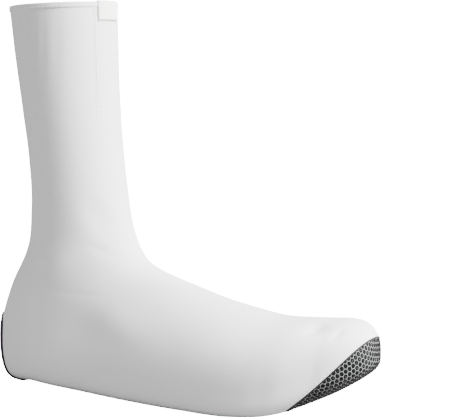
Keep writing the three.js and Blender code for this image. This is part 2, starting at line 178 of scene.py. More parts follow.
# Edges that turn by more than this, in degrees, are shaded sharp
CLOTH_SHARP = 50
TAPE_SHARP = 60

# Steps under the hem, where its extra thickness runs out: distance down in millimetres, and
# the share of that thickness that is left
HEM_STEPS = ((0.12, 0.80), (0.22, 0.35), (0.30, 0.00))

# Sole openings: the first ends this far behind the toe seam, the second begins this far in
# front of the heel patch. Corners keep under a third of the opening's length and width.
CLEAT_BEHIND_SEAM = 20 * MM
HEEL_BEHIND_PATCH = 9 * MM
OPENING_CORNER = 12 * MM
CORNER_SHARE = 1 / 3

# Toe cap: the rows end at this share of the way to the tip, where a pole closes them, and
# the cells rise over this share of it from the seam.
CAP_END = 0.97
CAP_RISE = 0.04

# Grip cells in units of the pitch: the three directions across a hexagon's sides, the
# distance between every second row, the half width of a cell, the softness of the line's
# edge, how much the corners are rounded, and the slope of a cell's side, in and out.
HEXAGON = ((1.0, 0.0), (0.5, math.sqrt(0.75)), (0.5, -math.sqrt(0.75)))
CELL_ROWS = math.sqrt(3.0)
CELL_HALF = 0.46
LINE_EDGE = 0.015
CELL_ROUND = 0.88
SLOPE_IN = 0.09
SLOPE_OUT = 0.05
# Painted highlight on some cells, a pale middle that stands in for the sheen of light on
# their tops: chance number above which a cell gets it, how pale the brightest one is, and
# the reach over which its pale middle fades.
PAINTED_HIGHLIGHT_FROM = 0.35
PAINTED_HIGHLIGHT_MOST = 0.3
PAINTED_HIGHLIGHT_INSIDE = 0.05
PAINTED_HIGHLIGHT_OUTSIDE = 0.16

# Stitches: pitch in stitch lengths, rise of the bow and how deep its ends lie in thread
# radii, and how blunt and how thin the ends are.
STITCH_GAP = 1.35
STITCH_BOW = 1.3
STITCH_SUNK = 0.5
STITCH_BLUNT = 6
STITCH_END = 0.15
HEM_STITCH_UP = 0.9 * MM
TOE_STITCH_BACK = 1.4 * MM

# Front seams of the leg: distance from the middle, gap under the hem, where they end and
# over how much they fade, both in sections from the rim, the tape's width and height, how
# deep its foot is, how far it sinks as it fades, and how far its stitches lie from it.
SEAM_SIDE = 14 * MM
SEAM_TOP = 0.5 * MM
SEAM_END = 2.34
SEAM_FADE = 0.5
SEAM_TAPE = 1.3 * MM
SEAM_TAPE_HIGH = 0.28 * MM
SEAM_FOOT = 0.4 * MM
SEAM_SINK = 0.1 * MM
SEAM_STITCH = 1.7 * MM

# Heel patch: power of its outline's superellipse, share of the first ring, how far in its
# rounded edge reaches in thicknesses, and the share of its height that counts as the bottom.
PATCH_CORNER = 4.5
PATCH_FIRST = 0.04
PATCH_BEVEL = 0.6
PATCH_BOTTOM = 1 / 4

# Front tab: share of the ribs' depth in the tape's thickness, extra height on top of the
# fold, how full the first rows are, how high they lie, the thicker lower edge and its
# height, and the power and the least share of the rounded sides.
RIB_DEPTH = 0.3
TAB_TOP = 0.7
TAB_END = (0.0, 0.35, 0.6, 0.8, 0.95)
TAB_END_HIGH = 0.35
TAB_ROLL = 0.35
TAB_ROLL_HIGH = 1.1 * MM
TAB_SIDE = 20
TAB_SIDE_LEAST = 0.02
ZIGZAG_STEP = 1.2 * MM
ZIGZAG_HIGH = 1.6 * MM
ZIGZAG_BELOW = 0.3 * MM

# Spacing and depth of the surface patterns. The loops of the knit and of the webbing are
# finer on the real thing, and are drawn as coarse as they need to be to show.
KNIT_SPACING, KNIT_DEPTH = 0.0007, 0.00006
PEBBLE_SPACING, PEBBLE_DEPTH = 0.0009, 0.0001
WEAVE_SPACING, WEAVE_DEPTH = 0.0006, 0.00008

MATH = "ShaderNodeMath"
VECTOR_MATH = "ShaderNodeVectorMath"
MAP_RANGE = "ShaderNodeMapRange"

# Stage: the floor lies a hair under the part, because two faces in one plane flicker.
FLOOR_HALF = 8.0
FLOOR_GAP = 0.05 * MM
KEY_AT = np.array([1.8, 0.28, 1.5])
KEY_WIDTH = 1.3
FILL_AT = np.array([-1.6, -1.6, 0.9])
FILL_WIDTH = 1.6
# The camera: found by matching the outline of the overshoe in the photograph.
CAMERA_AT = np.array([0.48829, -0.80327, 0.24161])
LOOK_AT = np.array([0.02752, 0.02798, 0.13490])


def linear(colour):
    """Linear light RGB of an sRGB colour given as a hex text, by the sRGB standard's curve:
    a straight foot, then a power of 2.4."""
    value = np.array([int(colour[i:i + 2], 16) for i in (1, 3, 5)]) / 255
    low = value / 12.92
    high = ((value + 0.055) / 1.055) ** 2.4
    return tuple(float(v) for v in np.where(value <= 0.04045, low, high))


def size(name, text, default):
    """A length property in metres."""
    return bpy.props.FloatProperty(
        name=name, description=text, default=default, min=0.0, precision=4, unit="LENGTH"
    )


def tilt(name, text, degrees):
    """An angle property."""
    return bpy.props.FloatProperty(
        name=name, description=text, default=math.radians(degrees), subtype="ANGLE"
    )


def colour(name, text, value):
    """A colour property whose default is an sRGB hex text."""
    return bpy.props.FloatVectorProperty(
        name=name,
        description=text,
        default=linear(value),
        min=0.0,
        max=1.0,
        size=3,
        subtype="COLOR",
    )


def factor(name, text, default, high):
    """A plain number property from 0 to high."""
    return bpy.props.FloatProperty(
        name=name, description=text, default=default, min=0.0, max=high, subtype="FACTOR"
    )


def lamp_power(name, text, watts):
    """The power of a lamp as a property."""
    return bpy.props.FloatProperty(
        name=name, description=text, default=watts, min=0.0, unit="POWER"
    )


class OvershoeSizes(bpy.types.PropertyGroup):
    """Sizes of the cloth body of the overshoe"""

    foot_length: size("Foot Length", "Back of the heel to the tip of the toe", 0.300)
    ankle_height: size("Ankle Height", "Floor to the crease in front of the ankle", 0.104)
    leg_rise: size("Leg Rise", "Ankle crease up to the front of the rim", 0.181)
    rim_width: size("Rim Width", "Side to side at the rim", 0.077)
    ball_width: size("Ball Width", "Side to side at the ball of the foot", 0.100)
    cloth_wall: size("Cloth Wall", "Thickness of the coated stretch cloth", 0.0015)
    hem_height: size("Hem Height", "Height of the turned hem at the rim", 0.004)
    hem_extra: size("Hem Extra", "How much thicker the hem is, outside", 0.0005)
    fold_depth: factor("Fold Depth", "How deep the folds and dents are", 1.0, 3.0)


class OvershoeCap(bpy.types.PropertyGroup):
    """Sizes of the toe cap and of the seam behind it"""

    reach: size("Cap Reach", "Tip of the toe back to the seam, under the sole", 0.057)
    slope: tilt("Cap Slope", "Angle at which the seam climbs forward from the sole", 45)
    sag: size("Seam Sag", "How far the seam dips below a straight line", 0.005)
    seam_width: size("Seam Width", "Width of the bound seam", 0.0009)
    seam_proud: size("Seam Height", "How far the binding stands over the cloth", 0.0004)
    cell_pitch: size("Cell Pitch", "Distance between the middles of two grip cells", 0.00345)
    cell_height: size("Cell Height", "How far a grip cell stands over the mesh", 0.0003)
    cell_turn: tilt("Cell Turn", "Turn of the pattern on the cap", 20)


class OvershoeTrim(bpy.types.PropertyGroup):
    """Sizes of the heel patch, the front tab, the seams and the sole openings"""

    patch_width: size("Patch Width", "Width of the heel patch round the back", 0.061)
    patch_above: size("Patch Height", "Floor to the upper edge of the heel patch", 0.050)
    patch_under: size("Patch Run", "How far the patch runs forward under the heel", 0.031)
    patch_thickness: size("Patch Thickness", "Thickness of the heel patch", 0.001)
    tab_width: size("Tab Width", "Width of the tape folded over the rim", 0.024)
    tab_drop: size("Tab Drop", "Rim down to the lower edge of the tab", 0.0135)
    tape_thickness: size("Tape Thickness", "Thickness of the elastic tape", 0.0009)
    rib_pitch: size("Rib Pitch", "Distance between two ribs of the tape", 0.0015)
    stitch_length: size("Stitch Length", "Length of one stitch", 0.0026)
    thread_radius: size("Thread Radius", "Radius of the sewing thread", 0.00017)
    cleat_length: size("Cleat Opening Length", "Opening for the cleat, heel to toe", 0.062)
    cleat_width: size("Cleat Opening Width", "Opening for the cleat, side to side", 0.058)
    heel_length: size("Heel Opening Length", "Opening for the heel pad, heel to toe", 0.042)
    heel_width: size("Heel Opening Width", "Opening for the heel pad, side to side", 0.040)


class OvershoeColours(bpy.types.PropertyGroup):
    """Colours of the overshoe and its stage"""

    cloth: colour("Cloth", "Coated stretch cloth", "#e9eaea")
    grip: colour("Grip", "Cells of the toe cap", "#0b0b0c")
    # Painted highlight: the pale middle that some grip cells get stands in for the sheen of light on
    # them, not for rubbing.
    painted_highlight: colour("Highlight", "Lit middle of a grip cell", "#8b8c8d")
    mesh: colour("Mesh", "Lines between the cells", "#9a9b9b")
    binding: colour("Binding", "Binding of the toe seam", "#101011")
    rubber: colour("Rubber", "Heel patch", "#0e0e0f")
    tape: colour("Tape", "Elastic tape of the tab", "#fdfcf8")
    thread: colour("Thread", "Sewing thread", "#f4f4f2")
    floor: colour("Floor", "Studio floor", "#7c7c7c")


class OvershoeStage(bpy.types.PropertyGroup):
    """Camera and light of the studio"""

    focal: bpy.props.FloatProperty(
        name="Focal Length", description="Lens of the camera", default=102.55, unit="CAMERA", min=1.0
    )
    key_power: lamp_power("Key Light", "Power of the large soft light", 350.0)
    fill_power: lamp_power("Fill Light", "Power of the second soft light", 14.0)
    sky: factor("Sky Light", "Brightness of the white surroundings as a light", 0.50, 5.0)
    backdrop: factor("Backdrop", "Brightness of the white surroundings as seen", 22.0, 40.0)
    floor_glow: factor("Floor Glow", "How much brighter the floor looks than lit", 21.0, 40.0)


PROPERTIES = {
    "overshoe_sizes": OvershoeSizes,
    "overshoe_cap": OvershoeCap,
    "overshoe_trim": OvershoeTrim,
    "overshoe_colours": OvershoeColours,
    "overshoe_stage": OvershoeStage,
}


def smooth(value, low, high):
    """0 below low, 1 above high and an even S curve between."""
    t = np.clip((value - low) / (high - low), 0, 1)
    return t * t * (3 - 2 * t)


def unit(vector):
    """The vectors with length one."""
    return vector / np.maximum(np.linalg.norm(vector, axis=-1, keepdims=True), LEAST_LENGTH)


def turns(count):
    """Angles once round, without the last one that meets the first."""
    return np.arange(count) * 2 * math.pi / count


def run_along(points):
    """Distance from the first point of a path to each of its points."""
    steps = np.linalg.norm(np.diff(points, axis=0), axis=-1)
    return np.concatenate([[0], np.cumsum(steps)])


def side_angle(share):
    """Angle on an elliptic section whose point lies at this share of the half width."""
    return np.arctan2(share, np.sqrt(1 - share**2))


class Form:
    """The smooth shoe surface over (u, angle): u counts sections from the rim, angle 0 is in
    front or on top and pi behind or under the sole. Each section is a superellipse met by
    a ray at that angle, section values run through cubic curves, and past the last section
    the sections shrink to the tip as a dome of a superellipse's outline."""

    def __init__(self, scene):
        self.shoe = scene.overshoe_sizes
        self.cap = scene.overshoe_cap
        self.trim = scene.overshoe_trim
        s = self.shoe
        leg = np.array([(*row, 0.0, LEG_WIDEST, ELLIPSE, ELLIPSE) for row in LEG_SECTIONS])
        foot = np.array(FOOT_SECTIONS)
        leg[:, [TOP_Z, BACK_Z]] = s.ankle_height + leg[:, [TOP_Z, BACK_Z]] * s.leg_rise
        leg[:, HALF_WIDTH] *= s.rim_width
        foot[:, [TOP_Z, BACK_Z]] *= s.ankle_height
        foot[:, [HALF_WIDTH, SHIFT]] *= s.ball_width
        values = np.vstack([leg, foot])
        values[:, [TOP_X, BACK_X]] *= s.foot_length
        middle = (values[:, [TOP_X, TOP_Z]] + values[:, [BACK_X, BACK_Z]]) / 2
        steps = np.hypot(*np.diff(middle, axis=0).T)
        slopes = np.diff(values, axis=0) / steps[:, None]
        before, after = steps[:-1, None], steps[1:, None]
        # Slopes between two steps are weighed by their lengths, and the ends follow a parabola
        self.slope = np.empty_like(values)
        self.slope[1:-1] = (slopes[:-1] * after + slopes[1:] * before) / (before + after)
        self.slope[0] = 1.5 * slopes[0] - 0.5 * self.slope[1]
        self.slope[-1] = 1.5 * slopes[-1] - 0.5 * self.slope[-2]
        self.values = values
        self.steps = steps
        self.last = len(values) - 1
        self.tip = self.last + 1.0
        self.stand = CLEARANCE + self.trim.patch_thickness
        self.back_x = values[:, BACK_X].min()

    def sections(self, u):
        """Section values at u, cubic between the given ones and domed past the last."""
        u = np.asarray(u, float)
        k = np.clip(np.floor(u).astype(int), 0, self.last - 1)
        q = (np.minimum(u, self.last) - k)[..., None]
        step = self.steps[k][..., None]
        inside = (
            (2 * q**3 - 3 * q**2 + 1) * self.values[k]
            + (q**3 - 2 * q**2 + q) * step * self.slope[k]
            + (3 * q**2 - 2 * q**3) * self.values[k + 1]
            + (q**3 - q**2) * step * self.slope[k + 1]
        )
        part = np.sin(np.clip(u - self.last, 0, 1) * math.pi / 2)
        shrink = np.maximum(1 - part**TIP_POWER, 0) ** (1 / TIP_POWER)
        end = self.values[-1]
        forward = (self.slope[-1, TOP_X] + self.slope[-1, BACK_X]) / 2
        end_x = (end[TOP_X] + end[BACK_X]) / 2
        end_z = (end[TOP_Z] + end[BACK_Z]) / 2
        reach = (TIP_X * self.shoe.foot_length - end_x) * part
        middle_x = end_x + reach
        middle_z = end_z + (TIP_Z * self.shoe.ankle_height - end_z) * part
        dome = end + self.slope[-1] / forward * reach[..., None]
        for keys, middle in (((TOP_X, BACK_X), middle_x), ((TOP_Z, BACK_Z), middle_z)):
            for key in keys:
                dome[..., key] = middle + (dome[..., key] - middle) * shrink
        dome[..., HALF_WIDTH] *= shrink
        dome[..., SHIFT] = end[SHIFT] + (TIP_SHIFT * self.shoe.ball_width - end[SHIFT]) * part
        dome[..., WIDEST:] = end[WIDEST:]
        return np.where((u > self.last)[..., None], dome, inside)

    def floor(self, x):
        """Lowest the cloth lies: on the floor under the ball, a patch higher at the heel."""
        length = self.shoe.foot_length
        return self.stand * (1 - smooth(x, SOLE_LEAVES * length, SOLE_LANDS * length))

    def smooth_point(self, u, angle):
        """Point of the shoe without folds."""
        s = self.sections(u)
        c, n = np.cos(angle), np.sin(angle)
        power = np.where(c >= 0, s[..., UPPER], s[..., LOWER])
        ray = (np.abs(c) ** power + np.abs(n) ** power) ** (-1 / power)
        up, across = c * ray, n * ray
        widest = s[..., WIDEST]
        down = np.where(up >= 0, widest * (1 - up), widest - (1 - widest) * up)
        x = s[..., TOP_X] + (s[..., BACK_X] - s[..., TOP_X]) * down
        z = s[..., TOP_Z] + (s[..., BACK_Z] - s[..., TOP_Z]) * down
        y = s[..., SHIFT] + s[..., HALF_WIDTH] * across
        return np.stack([x, y, np.maximum(z, self.floor(x))], -1)

    def normal(self, u, angle):
        """Outward direction, from small steps along u and the angle."""
        at = np.minimum(u, self.tip - POLE_MARGIN)
        nearer, further = np.maximum(at - SLOPE_STEP, 0), at + SLOPE_STEP
        left, right = angle - SLOPE_STEP, angle + SLOPE_STEP
        along = self.smooth_point(further, angle) - self.smooth_point(nearer, angle)
        around = self.smooth_point(at, right) - self.smooth_point(at, left)
        return unit(np.cross(along, around))

    def fold_depth(self, point):
        """How far folds push the cloth inward: long soft hollows, each a turned bell."""
        shoe = self.shoe
        depth = np.zeros(point.shape[:-1])
        for x, z, half_length, half_width, turn, deep, side in FOLDS:
            dx = point[..., 0] - x * shoe.foot_length
            dz = point[..., 2] - z * shoe.ankle_height
            c, s = math.cos(math.radians(turn)), math.sin(math.radians(turn))
            along = (dx * c + dz * s) / (half_length * MM)
            across = (dz * c - dx * s) / (half_width * MM)
            on_side = smooth(side * point[..., 1], 0, SIDE_BLEND)
            depth += deep * MM * on_side * np.exp(-(along**2) - across**2)
        above = point[..., 2] - self.floor(point[..., 0])
        return depth * smooth(above, 0, self.trim.patch_above * FOLD_FADE) * shoe.fold_depth

    def place(self, u, angle, offset=0.0):
        """Point of the cloth's outer face moved out by offset, from the part's origin."""
        u, angle, offset = np.broadcast_arrays(u, angle, offset)
        point = self.smooth_point(u, angle)
        out = (offset - self.fold_depth(point))[..., None]
        return point + self.normal(u, angle) * out - self.origin()

    def origin(self):
        """The part's origin, measured from the back of the heel."""
        forward = ORIGIN_FORWARD * self.shoe.foot_length
        return np.array([forward, ORIGIN_INNER * self.shoe.ball_width, 0.0])

    def behind_seam(self, point):
        """Distance behind the toe seam: a slope seen from the side, which sags by a parabola."""
        cap = self.cap
        forward = point[..., 0] - (self.shoe.foot_length - cap.reach)
        part = np.clip(forward / cap.reach, 0, 1)
        sag = cap.sag * 4 * part * (1 - part)
        return (point[..., 2] + sag) * math.cos(cap.slope) - forward * math.sin(cap.slope)

    def at_seam(self, angle, distance):
        """u at which the line of each angle is the given distance behind the toe seam, found
        by halving."""
        low = np.full_like(angle, SEAM_FROM)
        high = np.full_like(angle, self.tip)
        for _ in range(HALVINGS):
            middle = (low + high) / 2
            behind = self.behind_seam(self.smooth_point(middle, angle)) > distance
            low = np.where(behind, middle, low)
            high = np.where(behind, high, middle)
        return low

    def on_back_line(self, is_past):
        """u at which the line down the back and under the heel is past a place, found by
        halving."""
        low, high = BACK_FROM, float(self.last)
        for _ in range(HALVINGS):
            middle = (low + high) / 2
            if is_past(self.smooth_point(middle, math.pi)):
                high = middle
            else:
                low = middle
        return low


def grid_quads(rows, columns, close_rows=False):
    """Corner numbers of the quads of a grid whose columns meet round the back."""
    i = np.arange(rows if close_rows else rows - 1)[:, None]
    j = np.arange(columns)[None, :]
    below = (i + 1) % rows
    beside = (j + 1) % columns
    quads = [i * columns + j, below * columns + j, below * columns + beside, i * columns + beside]
    return np.stack(np.broadcast_arrays(*quads), -1).reshape(-1, 4)


def tube_faces(rows, columns):
    """Faces of a tube: its quads, and the two that close its first and its last row. They
    point outwards where the points run counter-clockwise round the way that the rows go."""
    last = np.arange(columns)[None] + (rows - 1) * columns
    first = np.arange(columns)[None, ::-1]
    return [grid_quads(rows, columns)[:, ::-1], first, last]


def poled_faces(rows, columns):
    """Faces of a tube whose first and last row are closed by triangles. They meet in the two
    points that follow the grid's."""
    j = np.arange(columns)
    k = (j + 1) % columns
    pole = np.full(columns, rows * columns)
    last = (rows - 1) * columns
    start = np.stack([j, k, pole], -1)
    end = np.stack([last + k, last + j, pole + 1], -1)
    return [grid_quads(rows, columns), start, end]


def add_mesh(name, points, face_groups, replaced=(), sharp=None):
    """A mesh object from points and groups of faces, riding on the part's only body."""
    points = np.ascontiguousarray(points.reshape(-1, 3), dtype=np.float32)
    mesh = bpy.data.meshes.new(name)
    corners = np.concatenate([group.reshape(-1) for group in face_groups])
    counts = np.concatenate([np.full(len(group), group.shape[1]) for group in face_groups])
    starts = np.concatenate([[0], np.cumsum(counts)[:-1]])
    mesh.vertices.add(len(points))
    mesh.vertices.foreach_set("co", points.ravel())
    mesh.loops.add(len(corners))
    mesh.loops.foreach_set("vertex_index", corners.astype(np.int32))
    mesh.polygons.add(len(counts))
    mesh.polygons.foreach_set("loop_start", starts.astype(np.int32))
    mesh.update(calc_edges=True)
    mesh.validate()
    mesh.polygons.foreach_set("use_smooth", np.ones(len(mesh.polygons), dtype=bool))
    if sharp is not None:
        mesh.set_sharp_from_angle(angle=math.radians(sharp))
    piece = bpy.data.objects.new(name, mesh)
    bpy.context.scene.collection.objects.link(piece)
    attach(piece, "root")
    if replaced:
        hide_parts(*replaced)
    return piece


def node(tree, kind, settings=None, **links):
    """Adds one shader node. settings are its own properties, links its inputs: a value sets
    the socket, and a (node, output) pair is joined to it. in_N names input number N."""
    made = tree.nodes.new(kind)
    for name, value in (settings or {}).items():
        setattr(made, name, value)
    for name, value in links.items():
        if name.startswith("in_"):
            socket = made.inputs[int(name[3:])]
        else:
            socket = next(s for s in made.inputs if s.name.lower().replace(" ", "_") == name)
        if isinstance(value, tuple) and isinstance(value[0], bpy.types.Node):
            tree.links.new(value[0].outputs[value[1]], socket)
        else:
            socket.default_value = value
    return made


def new_material(name, **values):
    """A material with the Principled shader's own sockets set, and that shader."""
    material = bpy.data.materials.new(name)
    material.use_nodes = True
    shader = material.node_tree.nodes["Principled BSDF"]
    for key, value in values.items():
        socket = key.replace("_", " ").title().replace("Ior", "IOR")
        shader.inputs[socket].default_value = value
    return material, shader


def cloth_material(colours):
    """Gives the eye a matt white film over a fine knit, with a soft sheen at grazing angles."""
    material, shader = new_material(
        "Polyester knit, white polyurethane coated",
        base_color=(*colours.cloth, 1.0),
        roughness=0.52,
        sheen_weight=0.12,
        sheen_roughness=0.4,
    )
    tree = material.node_tree
    at = (node(tree, "ShaderNodeTexCoord"), "Object")
    loops = {"feature": "SMOOTH_F1"}
    knit = node(tree, "ShaderNodeTexVoronoi", loops, vector=at, scale=1 / KNIT_SPACING)
    high = (knit, "Distance")
    bump = node(tree, "ShaderNodeBump", distance=KNIT_DEPTH, strength=0.5, height=high)
    tree.links.new(bump.outputs["Normal"], shader.inputs["Normal"])
    return material


def thread_material(colours):
    """Gives the eye a slightly shiny twisted white thread."""
    name = "Polyester thread, white spun"
    return new_material(name, base_color=(*colours.thread, 1.0), roughness=0.45)[0]


def grip_material(colours):
    """Gives the eye black rubbery cells, some with a painted highlight in their middle, on a pale
    mesh.
    The UV map holds the flat pattern in cell pitches, so the cells keep their size. The
    nodes work out what cell_distance does for the shape, and a chance number for each cell."""
    material, shader = new_material(
        "Polyester mesh, black rubber cells printed", roughness=0.6, specular_ior_level=0.12
    )
    tree = material.node_tree
    half = (0.5, CELL_ROWS / 2, 0.0)
    low = tuple(-v for v in half)
    flat = (node(tree, "ShaderNodeUVMap", {"uv_map": "Pattern"}), "UV")
    wrap, minus = {"operation": "WRAP"}, {"operation": "SUBTRACT"}
    length, times = {"operation": "LENGTH"}, {"operation": "MULTIPLY"}
    moved = node(tree, VECTOR_MATH, minus, in_0=flat, in_1=half)
    first = node(tree, VECTOR_MATH, wrap, in_0=flat, in_1=half, in_2=low)
    second = node(tree, VECTOR_MATH, wrap, in_0=(moved, "Vector"), in_1=half, in_2=low)
    first_far = node(tree, VECTOR_MATH, length, in_0=(first, "Vector"))
    second_far = node(tree, VECTOR_MATH, length, in_0=(second, "Vector"))
    nearer = node(
        tree,
        MATH,
        {"operation": "LESS_THAN"},
        in_0=(second_far, "Value"),
        in_1=(first_far, "Value"),
    )
    near = node(
        tree,
        "ShaderNodeMix",
        {"data_type": "VECTOR"},
        in_0=(nearer, "Value"),
        in_4=(first, "Vector"),
        in_5=(second, "Vector"),
    )
    near = (near, 1)
    far = node(tree, VECTOR_MATH, length, in_0=near)
    most = node(tree, MATH, times, in_0=(far, "Value"), in_1=CELL_ROUND)
    for direction in HEXAGON:
        across = (*direction, 0.0)
        side = node(tree, VECTOR_MATH, {"operation": "DOT_PRODUCT"}, in_0=near, in_1=across)
        side = node(tree, MATH, {"operation": "ABSOLUTE"}, in_0=(side, "Value"))
        larger = {"operation": "MAXIMUM"}
        most = node(tree, MATH, larger, in_0=(most, "Value"), in_1=(side, "Value"))
    middle = node(tree, VECTOR_MATH, minus, in_0=flat, in_1=near)
    number = node(
        tree,
        VECTOR_MATH,
        {"operation": "MULTIPLY_ADD"},
        in_0=(middle, "Vector"),
        in_1=(2.0, 2 / CELL_ROWS, 0.0),
        in_2=(0.5, 0.5, 0.0),
    )
    number = node(tree, VECTOR_MATH, {"operation": "FLOOR"}, in_0=(number, "Vector"))
    # Painted highlight: a chance number picks some cells, and a pale spot in their middle stands in
    # for the sheen of light on their tops.
    in_space = {"noise_dimensions": "3D"}
    chance = node(tree, "ShaderNodeTexWhiteNoise", in_space, vector=(number, "Vector"))
    painted_highlight = node(
        tree,
        MAP_RANGE,
        in_0=(chance, "Value"),
        in_1=PAINTED_HIGHLIGHT_FROM,
        in_2=1.0,
        in_3=0.0,
        in_4=PAINTED_HIGHLIGHT_MOST,
    )
    inside = node(
        tree,
        MAP_RANGE,
        in_0=(most, "Value"),
        in_1=PAINTED_HIGHLIGHT_INSIDE,
        in_2=PAINTED_HIGHLIGHT_OUTSIDE,
        in_3=1.0,
        in_4=0.0,
    )
    painted_highlight_share = node(tree, MATH, times, in_0=(painted_highlight, "Result"), in_1=(inside, "Result"))
    cell = node(
        tree,
        "ShaderNodeMix",
        {"data_type": "RGBA"},
        in_0=(painted_highlight_share, "Value"),
        in_6=(*colours.grip, 1.0),
        in_7=(*colours.painted_highlight, 1.0),
    )
    line = node(
        tree,
        MAP_RANGE,
        in_0=(most, "Value"),
        in_1=CELL_HALF - LINE_EDGE,
        in_2=CELL_HALF + LINE_EDGE,
        in_3=0.0,
        in_4=1.0,
    )
    both = node(
        tree,
        "ShaderNodeMix",
        {"data_type": "RGBA"},
        in_0=(line, "Result"),
        in_6=(cell, 2),
        in_7=(*colours.mesh, 1.0),
    )
    tree.links.new(both.outputs[2], shader.inputs["Base Color"])
    return material


def binding_material(colours):
    """Gives the eye a dark matt folded ribbon."""
    name = "Nylon ribbon, black woven"
    return new_material(name, base_color=(*colours.binding, 1.0), roughness=0.75)[0]


def rubber_material(colours):
    """Gives the eye a matt black coat with a fine pebble."""
    material, shader = new_material(
        "Rubber-coated cloth, black matt", base_color=(*colours.rubber, 1.0), roughness=0.6
    )
    tree = material.node_tree
    at = (node(tree, "ShaderNodeTexCoord"), "Object")
    grains = {"feature": "F1"}
    pebble = node(tree, "ShaderNodeTexVoronoi", grains, vector=at, scale=1 / PEBBLE_SPACING)
    high = (pebble, "Distance")
    bump = node(tree, "ShaderNodeBump", distance=PEBBLE_DEPTH, strength=0.6, height=high)
    tree.links.new(bump.outputs["Normal"], shader.inputs["Normal"])
    return material


def tape_material(colours):
    """Gives the eye a soft warm white webbing."""
    material, shader = new_material(
        "Elastic webbing, white woven in ribs", base_color=(*colours.tape, 1.0), roughness=0.85
    )
    tree = material.node_tree
    at = (node(tree, "ShaderNodeTexCoord"), "Object")
    weave = node(tree, "ShaderNodeTexNoise", vector=at, scale=1 / WEAVE_SPACING, detail=2.0)
    high = (weave, "Fac")
    bump = node(tree, "ShaderNodeBump", distance=WEAVE_DEPTH, strength=0.5, height=high)
    tree.links.new(bump.outputs["Normal"], shader.inputs["Normal"])
    return material


def floor_material(colours, stage):
    """Gives the eye a bright white sheet with a soft shadow: its glow is seen only by the
    camera, so that it lights nothing."""
    material, shader = new_material(
        "Paper, white matt", base_color=(*colours.floor, 1.0), roughness=0.9
    )
    tree = material.node_tree
    seen = (node(tree, "ShaderNodeLightPath"), "Is Camera Ray")
    glow = node(tree, MATH, {"operation": "MULTIPLY"}, in_0=seen, in_1=stage.floor_glow)
    shader.inputs["Emission Color"].default_value = (1.0, 1.0, 1.0, 1.0)
    tree.links.new(glow.outputs["Value"], shader.inputs["Emission Strength"])
    return material


def cell_distance(flat):
    """Distance from the middle of the nearest cell, for points in units of the pitch:
    the greatest reach across the hexagon's sides, with rounded corners."""
    lattice = np.array([1.0, CELL_ROWS])
    first = np.mod(flat + lattice / 2, lattice) - lattice / 2
    second = np.mod(flat, lattice) - lattice / 2
    shorter = (first**2).sum(-1) < (second**2).sum(-1)
    near = np.where(shorter[..., None], first, second)
    reach = np.abs(near @ np.array(HEXAGON).T).max(-1)
    return np.maximum(reach, CELL_ROUND * np.linalg.norm(near, axis=-1))


def flatten(points, normals):
    """A flat copy of a surface grid that keeps the distances between its points as well as a
    plane can. Each distance over the surface is the chord lengthened like an arc by the turn
    of the normals, near pairs count most, and the flat points are eased to least stress."""
    grid = points.shape[:2]
    along = np.gradient(points, axis=0)
    around = np.roll(points, -1, axis=1) - np.roll(points, 1, axis=1)
    share = np.linalg.norm(np.cross(along, around), axis=-1).ravel()
    points, normals = points.reshape(-1, 3), normals.reshape(-1, 3)
    same = np.arange(len(points))
    chord = np.linalg.norm(points[:, None] - points[None], axis=-1)
    half_turn = np.arccos(np.clip(normals @ normals.T, -1, 1)) / 2
    far = chord / np.sinc(half_turn / math.pi)
    far[same, same] = 1.0
    pull = share[:, None] * share[None] / far**2
    pull[same, same] = 0.0
    pull /= pull.sum()
    stiff = -pull
    stiff[same, same] = pull.sum(axis=1)
    solve = np.linalg.inv(stiff + stiff.trace() / len(points) ** 2)
    forward = np.array([math.sqrt(0.5), 0.0, math.sqrt(0.5)])
    flat = np.stack([points @ forward, points[:, 1]], -1)
    for _ in range(FLAT_ROUNDS):
        now = np.linalg.norm(flat[:, None] - flat[None], axis=-1)
        now[same, same] = 1.0
        push = -pull * far / now
        push[same, same] = -push.sum(axis=1)
        flat = solve @ (push @ flat)
    return flat.reshape(*grid, 2)


def between(coarse, rows, columns):
    """A finer grid on smooth curves through the points of a coarse one that closes round:
    each curve is a cubic that leaves a point along the line between its neighbours."""
    ahead = 2 * coarse[-1:] - coarse[-2:-1]
    before = 2 * coarse[:1] - coarse[1:2]
    padded = np.concatenate([before, coarse, ahead])
    padded = np.concatenate([padded[:, -1:], padded, padded[:, :2]], axis=1)

    def cubic(values, at, axis):
        first = np.minimum(at.astype(int), values.shape[axis] - 4)
        q = at - first
        weights = (
            (-(q**3) + 2 * q**2 - q) / 2,
            (3 * q**3 - 5 * q**2 + 2) / 2,
            (-3 * q**3 + 4 * q**2 + q) / 2,
            (q**3 - q**2) / 2,
        )
        shape = (-1, 1, 1) if axis == 0 else (1, -1, 1)
        terms = [np.take(values, first + k, axis) * w.reshape(shape) for k, w in enumerate(weights)]
        return sum(terms)

    done = cubic(padded, np.linspace(0, len(coarse) - 1, rows), 0)
    return cubic(done, np.arange(columns) * coarse.shape[1] / columns, 1)


